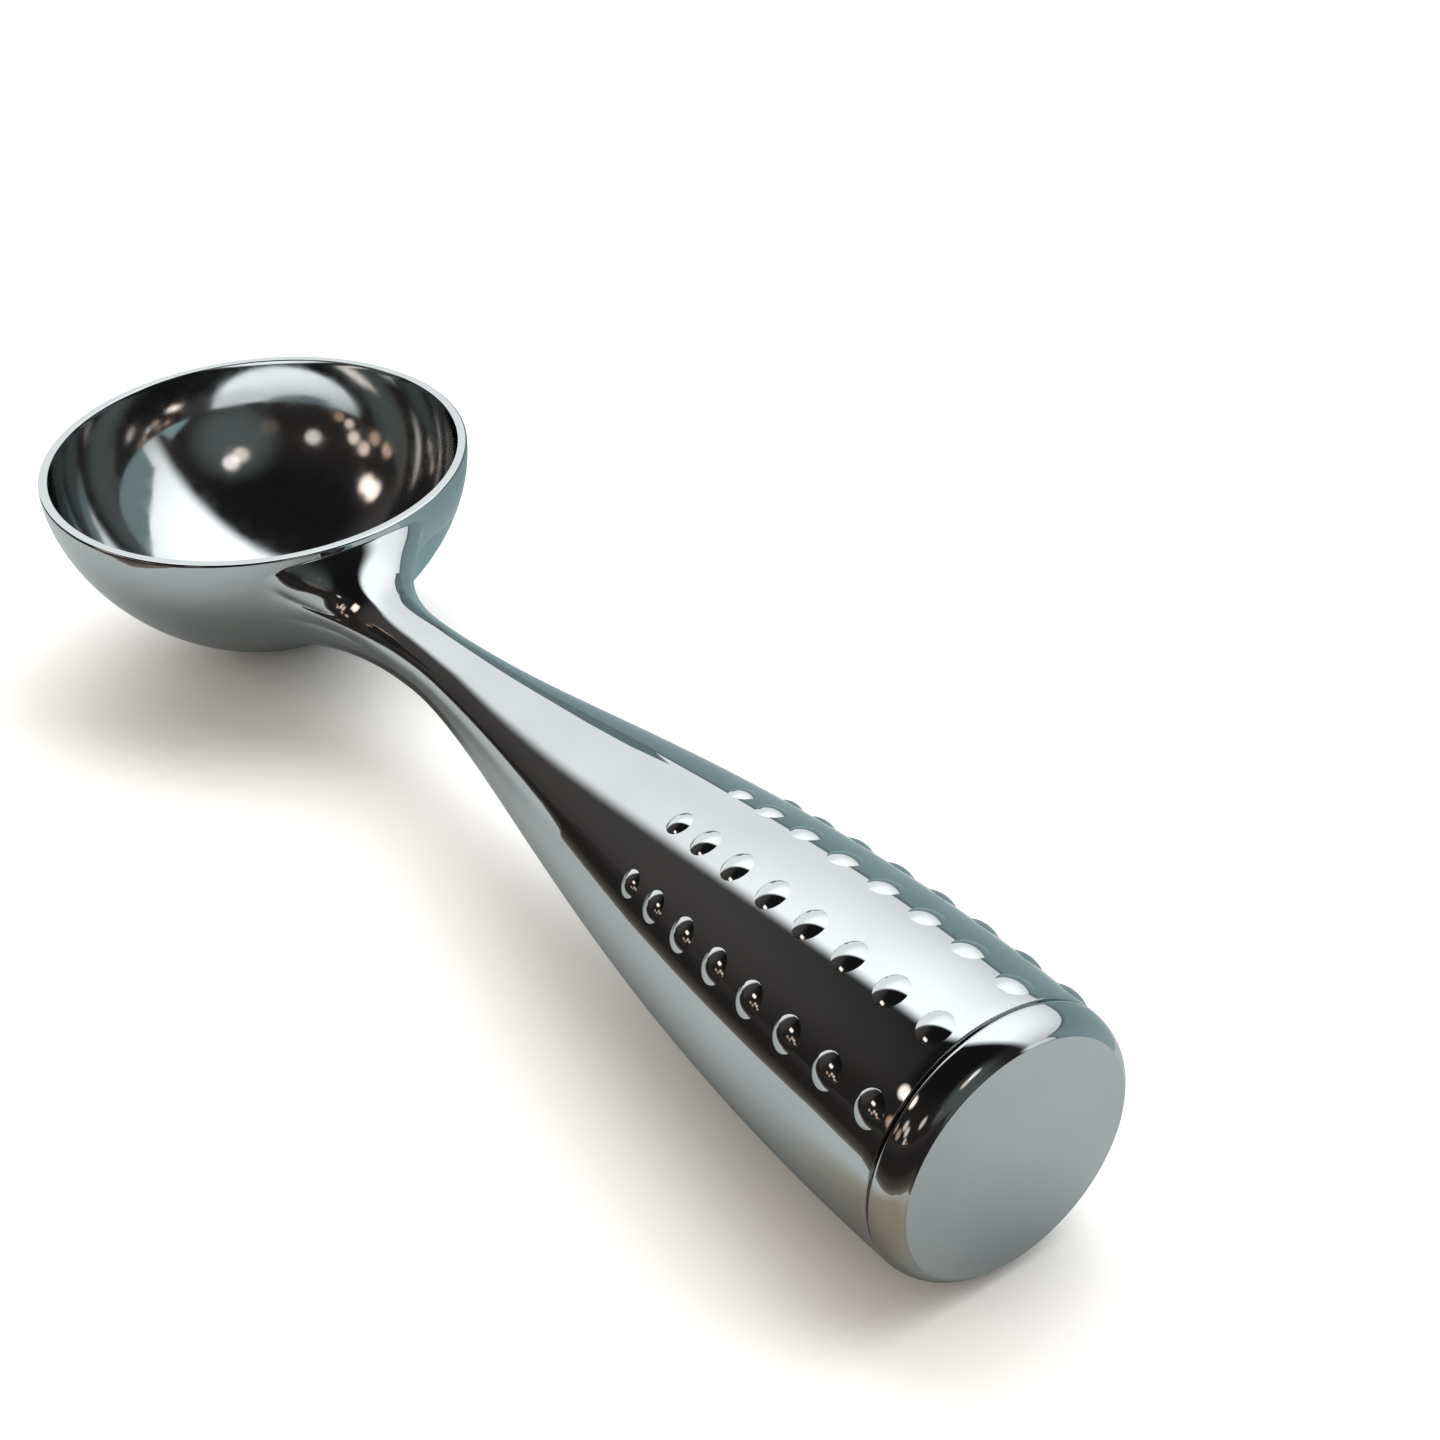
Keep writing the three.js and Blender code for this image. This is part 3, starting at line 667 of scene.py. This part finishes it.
# %% Profile of the end cap
def cap_profile():
    shoulder = GRIP_END_AT + CAP_CLEARANCE
    face = shoulder + CAP_BAND
    groove = shoulder - GROOVE_FROM_SHOULDER
    tip = shoulder - SPIGOT_LENGTH
    plug = [
        (0, tip), (SPIGOT_RADIUS - SPIGOT_CHAMFER, tip), (SPIGOT_RADIUS, tip + SPIGOT_CHAMFER),
        (SPIGOT_RADIUS, groove - GROOVE_HALF), (GROOVE_RADIUS, groove - GROOVE_HALF),
        (GROOVE_RADIUS, groove + GROOVE_HALF), (SPIGOT_RADIUS, groove + GROOVE_HALF),
        (SPIGOT_RADIUS, shoulder), (GRIP_END_RADIUS - CAP_BREAK, shoulder),
    ]
    start = np.array([GRIP_END_RADIUS, shoulder + CAP_BREAK])
    bulge = np.array([GRIP_END_RADIUS - CAP_BREAK, face - CAP_BULGE])
    stop = np.array([CAP_FACE_RADIUS + CAP_EDGE, face - CAP_EDGE])
    band = []
    for t in np.linspace(0, 1, CAP_BAND_STEPS + 1):
        band.append(tuple((1 - t) ** 2 * start + 2 * (1 - t) * t * bulge + t ** 2 * stop))
    edge = [
        (CAP_FACE_RADIUS + EDGE_MIDDLE_OUT, face - EDGE_MIDDLE_BACK),
        (CAP_FACE_RADIUS, face), (CAP_FACE_RADIUS - EDGE_INNER, face),
    ]
    flat = [(CAP_FACE_RADIUS * share, face) for share in (0.75, 0.5, 0.25, 0)]
    return plug + band + edge + flat


cap_mesh = turn_profile("cap_profile", cap_profile(), AROUND, cap_plate)
stand_on_axis = Matrix((AXIS_UP, -AXIS_SIDE, AXIS)).transposed().to_4x4()
cap_mesh.transform(TO_FRAME @ Matrix.Translation(Vector(AXIS_START)) @ stand_on_axis)
end_cap = new_piece("scoop_end_cap", cap_mesh)
print("end cap faces:", len(cap_mesh.polygons))


# %% Faces of closed pieces point outwards
SAME_POINT = 1e-7


def face_outwards(mesh):
    work = bmesh.new()
    work.from_mesh(mesh)
    bmesh.ops.remove_doubles(work, verts=work.verts, dist=SAME_POINT)
    bmesh.ops.recalc_face_normals(work, faces=work.faces)
    open_edges = sum(1 for e in work.edges if not e.is_manifold)
    work.to_mesh(mesh)
    volume = work.calc_volume(signed=True)
    work.free()
    return open_edges, volume


for piece in (casting, end_cap):
    open_edges, volume = face_outwards(piece.data)
    print(piece.name, "open edges:", open_edges, "volume, cm3:", round(volume * 1e6, 2))

# %% [markdown]
# The seal ring's solid is round enough for a piece that sits hidden in the bore, so it stays and only gets
# black rubber. Each new piece says which solid it stands for and which body it moves with. Nothing moves on
# this object, so there is one body.

# %% Rubber of the seal ring
def rubber(name):
    material = bpy.data.materials.new(name)
    material.use_nodes = True
    tree = material.node_tree
    shader = tree.nodes["Principled BSDF"]
    where = node(tree, "ShaderNodeTexCoord")
    grain = node(tree, "ShaderNodeTexNoise")
    grain.inputs["Scale"].default_value = 900
    tree.links.new(where.outputs["Object"], grain.inputs["Vector"])
    tone = node(tree, "ShaderNodeValToRGB")
    tone.color_ramp.elements[0].color = (0.010, 0.010, 0.011, 1)
    tone.color_ramp.elements[1].color = (0.024, 0.024, 0.025, 1)
    tree.links.new(grain.outputs["Fac"], tone.inputs["Fac"])
    tree.links.new(tone.outputs["Color"], shader.inputs["Base Color"])
    shader.inputs["Roughness"].default_value = 0.62
    return material


seal_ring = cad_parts["seal_ring"]
seal_ring.data.materials.clear()
seal_ring.data.materials.append(rubber("seal_rubber_black"))
print("seal ring keeps its solid, finish:", seal_ring.data.materials[0].name)

# %% Ride with the body and hide the solids they stand for
for piece, stands_for, finish_slot in (
    (casting, "casting", "chrome_plate"),
    (end_cap, "end_cap", "cap_plate"),
):
    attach(piece, "root")
    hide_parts(stands_for)
    print(piece.name, "stands for", stands_for, "and wears", finish_slot)

# %% [markdown]
# The stage is a pale floor under soft light. Bright metal shows nothing but what stands around it, and on
# this scoop it shows a greyer ground than the camera sees. So the floor has two paints: a white one for
# the camera, and a grey one for every other ray. Shade is painted into the grey one, where only the metal
# sees it: painted shadows under the neck and beside the end cap, and a darker teal shade behind the bowl.

# %% Floor
FLOOR_HALF = 3.0
FLOOR_IN_METAL = (0.385, 0.42, 0.43)
FLOOR_WHITE = (0.95, 0.945, 0.94)
# place, half length and half width in metres, and colour of each place of painted shade: painted shadows
# under the neck and beside the end cap, and a darker teal shade behind the bowl
FLOOR_PAINTED_SHADE = [
    (-0.034, -0.004, 0.020, 0.012, (0.12, 0.12, 0.115)),
    (0.096, -0.034, 0.040, 0.030, (0.25, 0.225, 0.18)),
    (-0.056, 0.032, 0.036, 0.026, (0.19, 0.28, 0.285)),
]
PAINTED_SHADE_HEART = 0.35


def floor_paint_with_painted_shade():
    paint = bpy.data.materials.new("floor_paint_with_painted_shade")
    paint.use_nodes = True
    tree = paint.node_tree
    link = tree.links.new
    shader = tree.nodes["Principled BSDF"]
    shader.inputs["Roughness"].default_value = 1
    shader.inputs["Specular IOR Level"].default_value = 0
    where = node(tree, "ShaderNodeTexCoord")
    seen = node(tree, "ShaderNodeMix", data_type="RGBA")
    seen.inputs["A"].default_value = (*FLOOR_IN_METAL, 1)
    seen.inputs["B"].default_value = (*FLOOR_WHITE, 1)
    last = None
    # each place is a soft painted shade, blended into the grey paint that the metal mirrors
    for x, y, half_long, half_wide, colour in FLOOR_PAINTED_SHADE:
        place = node(tree, "ShaderNodeMapping")
        place.inputs["Location"].default_value = (-x / half_long, -y / half_wide, 0)
        place.inputs["Scale"].default_value = (1 / half_long, 1 / half_wide, 1)
        link(where.outputs["Object"], place.inputs["Vector"])
        away = node(tree, "ShaderNodeVectorMath", operation="LENGTH")
        link(place.outputs["Vector"], away.inputs[0])
        painted_shade_mask = node(tree, "ShaderNodeMapRange", interpolation_type="SMOOTHSTEP")
        painted_shade_mask.inputs["From Min"].default_value = 1
        painted_shade_mask.inputs["From Max"].default_value = PAINTED_SHADE_HEART
        link(away.outputs["Value"], painted_shade_mask.inputs["Value"])
        tone = node(tree, "ShaderNodeMix", data_type="RGBA")
        tone.inputs["A"].default_value = (*FLOOR_IN_METAL, 1)
        tone.inputs["B"].default_value = (*colour, 1)
        link(painted_shade_mask.outputs["Result"], tone.inputs["Factor"])
        if last:
            link(last.outputs["Result"], tone.inputs["A"])
        last = tone
    link(last.outputs["Result"], seen.inputs["A"])
    path = node(tree, "ShaderNodeLightPath")
    link(path.outputs["Is Camera Ray"], seen.inputs["Factor"])
    link(seen.outputs["Result"], shader.inputs["Base Color"])
    return paint


floor_mesh = bpy.data.meshes.new("studio_floor")
floor_corners = [(x * FLOOR_HALF, y * FLOOR_HALF, 0) for x, y in ((-1, -1), (1, -1), (1, 1), (-1, 1))]
floor_mesh.from_pydata(floor_corners, [], [(0, 1, 2, 3)])
floor_mesh.materials.append(floor_paint_with_painted_shade())
floor = new_piece("studio_floor", floor_mesh)
print("floor with", len(FLOOR_PAINTED_SHADE), "darker places that the metal shows")


# %% [markdown]
# The room matters as much as the metal. One half of it is a big white screen, brighter towards its top. The
# other half, on the camera's side, is dim and holds a few small warm lamps. A world shader can hold such a
# room, because it is asked by direction. The floor is lit by a brighter copy of the room with some even
# fill, which only matt surfaces gather, so the ground comes out white and keeps the shadow. The metal isn't
# lit by that copy, but it mirrors the floor that is, which is one more reason for the floor's grey paint.
# The camera itself sees plain white there.

# %% Room around the scoop
def towards(azimuth, elevation):
    flat = math.cos(math.radians(elevation))
    return (
        flat * math.cos(math.radians(azimuth)),
        flat * math.sin(math.radians(azimuth)),
        math.sin(math.radians(elevation)),
    )


SCREEN_MIDDLE = 115
SCREEN_EDGE = (0.10, 0.24)
SCREEN_LIGHT = (1.60, 1.68, 1.69)
SCREEN_FOOT = 0.3
SCREEN_TOP_AT = 0.85
# towards this end the screen is evenly lit from foot to top
EVEN_MIDDLE = 168
EVEN_EDGE = (0.6, 0.92)
EVEN_LEVEL = 0.66
FLOOR_LIGHT = (2.95, 2.85, 2.82)
FILL_LIGHT = (0.22, 0.195, 0.16)
SIDE_FILL = 0.55
SIDE_FILL_FROM = (190, 35)
SIDE_FILL_EDGE = (0, 0.8)
SIDE_FILL_COLOUR = (1.0, 0.97, 0.93)
DIM_SIDE = (0.025, 0.0225, 0.021)
DIM_ABOVE = (0.010, 0.010, 0.010)
DIM_EDGE = (0.5, 0.85)
LAMP_HEART = 0.35
GLOW_RADIUS = 20
# azimuth, elevation and radius in degrees, strength, colour; the wide ones are only a faint glow
LAMPS = [
    (-120, 37, 6, 1.7, (1.0, 0.86, 0.76)),
    (-112, 38, 6, 1.7, (1.0, 0.86, 0.76)),
    (-2, 40, 6, 1.2, (1.0, 0.92, 0.86)),
    (-10, 37, 6, 0.9, (1.0, 0.86, 0.74)),
    (-32, 22, 7, 0.07, (1.0, 0.72, 0.56)),
    (-60, 28, 6, 0.8, (1.0, 0.92, 0.86)),
    (-87, 22, 5, 0.9, (1.0, 0.84, 0.72)),
    (-96, 25, 5, 0.9, (1.0, 0.78, 0.64)),
    (-82, 15, 4, 0.8, (1.0, 0.80, 0.68)),
    (-75, 12, 4, 0.4, (1.0, 0.66, 0.46)),
    (-101, 17, 5, 0.5, (1.0, 0.70, 0.52)),
    (-112, 18, 5, 0.6, (1.0, 0.70, 0.52)),
    (-165, 26, 40, 0.05, (1.0, 0.97, 0.94)),
    (-9, 26, 30, 0.10, (0.80, 1.0, 0.98)),
]


def studio_world():
    world = bpy.data.worlds.new("studio")
    world.use_nodes = True
    tree = world.node_tree
    tree.nodes.clear()
    link = tree.links.new
    where = node(tree, "ShaderNodeTexCoord")

    def facing(direction, low, high):
        along = node(tree, "ShaderNodeVectorMath", operation="DOT_PRODUCT")
        link(where.outputs["Generated"], along.inputs[0])
        along.inputs[1].default_value = direction
        soft = node(tree, "ShaderNodeMapRange", interpolation_type="SMOOTHSTEP")
        soft.inputs["From Min"].default_value = low
        soft.inputs["From Max"].default_value = high
        link(along.outputs["Value"], soft.inputs["Value"])
        return soft

    def lit(mask, colour, strength):
        light = node(tree, "ShaderNodeVectorMath", operation="SCALE")
        light.inputs[0].default_value = tuple(strength * c for c in colour)
        link(mask.outputs["Result"], light.inputs["Scale"])
        return light

    def add(one, other):
        both = node(tree, "ShaderNodeVectorMath", operation="ADD")
        link(one.outputs["Vector"], both.inputs[0])
        link(other.outputs["Vector"], both.inputs[1])
        return both

    side = facing(towards(SCREEN_MIDDLE, 0), *SCREEN_EDGE)
    height = facing((0, 0, 1), 0, SCREEN_TOP_AT)
    height.interpolation_type = "LINEAR"
    height.inputs["To Min"].default_value = SCREEN_FOOT
    end = facing(towards(EVEN_MIDDLE, 0), *EVEN_EDGE)
    even = node(tree, "ShaderNodeMix", data_type="FLOAT")
    link(end.outputs["Result"], even.inputs["Factor"])
    link(height.outputs["Result"], even.inputs["A"])
    even.inputs["B"].default_value = EVEN_LEVEL
    screen = node(tree, "ShaderNodeMath", operation="MULTIPLY")
    link(side.outputs["Result"], screen.inputs[0])
    link(even.outputs["Result"], screen.inputs[1])
    screen_light = node(tree, "ShaderNodeVectorMath", operation="SCALE")
    screen_light.inputs[0].default_value = SCREEN_LIGHT
    link(screen.outputs[0], screen_light.inputs["Scale"])
    above = facing((0, 0, 1), *DIM_EDGE)
    dim = node(tree, "ShaderNodeMix", data_type="VECTOR")
    link(above.outputs["Result"], dim.inputs["Factor"])
    dim.inputs["A"].default_value = DIM_SIDE
    dim.inputs["B"].default_value = DIM_ABOVE
    total = node(tree, "ShaderNodeVectorMath", operation="ADD")
    link(screen_light.outputs["Vector"], total.inputs[0])
    link(dim.outputs["Result"], total.inputs[1])
    for azimuth, elevation, radius, strength, colour in LAMPS:
        heart = LAMP_HEART * radius if radius < GLOW_RADIUS else 0
        edges = math.cos(math.radians(radius)), math.cos(math.radians(heart))
        mask = facing(towards(azimuth, elevation), *edges)
        total = add(total, lit(mask, colour, strength))
    path = node(tree, "ShaderNodeLightPath")
    soft = node(tree, "ShaderNodeVectorMath", operation="MULTIPLY_ADD")
    link(total.outputs["Vector"], soft.inputs[0])
    soft.inputs[1].default_value = FLOOR_LIGHT
    soft.inputs[2].default_value = FILL_LIGHT
    fill = facing(towards(*SIDE_FILL_FROM), *SIDE_FILL_EDGE)
    soft = add(soft, lit(fill, SIDE_FILL_COLOUR, SIDE_FILL))
    by_ray = node(tree, "ShaderNodeMix", data_type="VECTOR")
    link(path.outputs["Is Diffuse Ray"], by_ray.inputs["Factor"])
    link(total.outputs["Vector"], by_ray.inputs["A"])
    link(soft.outputs["Vector"], by_ray.inputs["B"])
    room = node(tree, "ShaderNodeBackground")
    link(by_ray.outputs["Result"], room.inputs["Color"])
    plain = node(tree, "ShaderNodeBackground")
    plain.inputs["Color"].default_value = (1, 1, 1, 1)
    seen = node(tree, "ShaderNodeMixShader")
    link(path.outputs["Is Camera Ray"], seen.inputs[0])
    link(room.outputs[0], seen.inputs[1])
    link(plain.outputs[0], seen.inputs[2])
    out = node(tree, "ShaderNodeOutputWorld")
    link(seen.outputs[0], out.inputs["Surface"])
    return world


bpy.context.scene.world = studio_world()
print("room with", len(LAMPS), "lamps")

# %% [markdown]
# Three cards stand on the floor, as they do when bright metal is photographed: a dark one on the camera's
# side, a low grey one on the far side that bends round the bowl, and a higher one behind the bowl. The dark
# one runs on far past the bowl and gets lower there, so that the metal doesn't show where it ends. The
# cards give the metal darker edges against the pale floor, and only mirror reflections see them.

# %% Cards
CARD_LIFT = 0.0005


def card(name, foot, stops):
    """An upright card along a line of places and heights. The stops give its colour from foot to top."""
    points = [(x, y, z) for x, y, height in foot for z in (CARD_LIFT, height)]
    faces = [(2 * i, 2 * i + 2, 2 * i + 3, 2 * i + 1) for i in range(len(foot) - 1)]
    mesh = bpy.data.meshes.new(name)
    mesh.from_pydata(points, [], faces)
    mesh.attributes.new("rise", "FLOAT", "POINT").data.foreach_set("value", [0.0, 1.0] * len(foot))
    piece = new_piece(name, mesh)
    paint = bpy.data.materials.new(name + "_paint")
    paint.use_nodes = True
    tree = paint.node_tree
    tree.nodes.clear()
    rise = node(tree, "ShaderNodeAttribute", attribute_name="rise")
    ramp = node(tree, "ShaderNodeValToRGB")
    while len(ramp.color_ramp.elements) < len(stops):
        ramp.color_ramp.elements.new(0.5)
    for element, (at, colour) in zip(ramp.color_ramp.elements, stops):
        element.position = at
        element.color = (*colour, 1)
    tree.links.new(rise.outputs["Fac"], ramp.inputs["Fac"])
    glow = node(tree, "ShaderNodeEmission")
    tree.links.new(ramp.outputs["Color"], glow.inputs["Color"])
    out = node(tree, "ShaderNodeOutputMaterial")
    tree.links.new(glow.outputs[0], out.inputs["Surface"])
    mesh.materials.append(paint)
    piece.visible_camera = False
    piece.visible_diffuse = False
    piece.visible_shadow = False
    return piece


# places and heights along each card's foot
DARK_FOOT = [
    (0.16, 0.04, 0.034), (0.145, -0.01, 0.034), (0.115, -0.05, 0.034), (0.03, -0.085, 0.034),
    (-0.02, -0.062, 0.034), (-0.06, -0.062, 0.034), (-0.1, -0.085, 0.034), (-0.2, -0.13, 0.034),
    (-0.3, -0.16, 0.030), (-0.5, -0.2, 0.022), (-0.8, -0.22, 0.014), (-1.2, -0.2, 0.006),
]
# the dark card's foot is brownish grey, painted shade of a floor in warm shadow, and it turns dark above
DARK_CARD_STOPS_WITH_PAINTED_SHADE = [
    (0, (0.24, 0.21, 0.175)), (0.14, (0.09, 0.078, 0.068)), (0.4, DIM_SIDE), (0.7, DIM_SIDE),
    (1, (0.045, 0.042, 0.040)),
]
GREY_FOOT = [
    (0.17, 0.055, 0.040), (0.11, 0.052, 0.044), (0.05, 0.050, 0.046), (0.0, 0.045, 0.045),
    (-0.02, 0.037, 0.037), (-0.035, 0.031, 0.031), (-0.047, 0.033, 0.026), (-0.066, 0.037, 0.021),
    (-0.085, 0.034, 0.018), (-0.10, 0.02, 0.016),
]
GREY_STOPS = [
    (0, (0.36, 0.48, 0.48)), (0.6, (0.27, 0.38, 0.39)), (0.9, (0.24, 0.34, 0.35)), (1, (0.12, 0.16, 0.165)),
]
FAR_FOOT = [
    (-0.035, 0.050, 0.050), (-0.055, 0.050, 0.055), (-0.085, 0.058, 0.058), (-0.14, 0.08, 0.058),
    (-0.18, 0.09, 0.020),
]
FAR_STOPS = [(0, (0.22, 0.32, 0.33)), (0.5, (0.19, 0.27, 0.27)), (1, (0.17, 0.23, 0.23))]
card("dark_card", DARK_FOOT, DARK_CARD_STOPS_WITH_PAINTED_SHADE)
card("grey_card", GREY_FOOT, GREY_STOPS)
card("far_card", FAR_FOOT, FAR_STOPS)

# %% [markdown]
# The camera's place was found by fitting these same outlines to the photograph.

# %% Camera
CAMERA_AT = Vector((0.20638, -0.10146, 0.16373))
CAMERA_AZIMUTH = math.radians(-32.956)
CAMERA_ELEVATION = math.radians(33.246)
CAMERA_ROLL = math.radians(-4.100)
CAMERA_LENS = 54.995
flat = math.cos(CAMERA_ELEVATION)
across, sideways = flat * math.cos(CAMERA_AZIMUTH), flat * math.sin(CAMERA_AZIMUTH)
looking = -Vector((across, sideways, math.sin(CAMERA_ELEVATION)))
camera_data = bpy.data.cameras.new("camera")
camera_data.lens = CAMERA_LENS
camera_data.sensor_width = 36
camera_data.clip_start = 0.01
camera = new_piece("camera", camera_data)
camera.location = CAMERA_AT
camera.rotation_euler = (looking.to_track_quat("-Z", "Y") @ Quaternion((0, 0, 1), CAMERA_ROLL)).to_euler()
bpy.context.scene.camera = camera
bpy.context.scene.view_settings.view_transform = "Standard"
print("camera at", [round(v, 4) for v in camera.location])
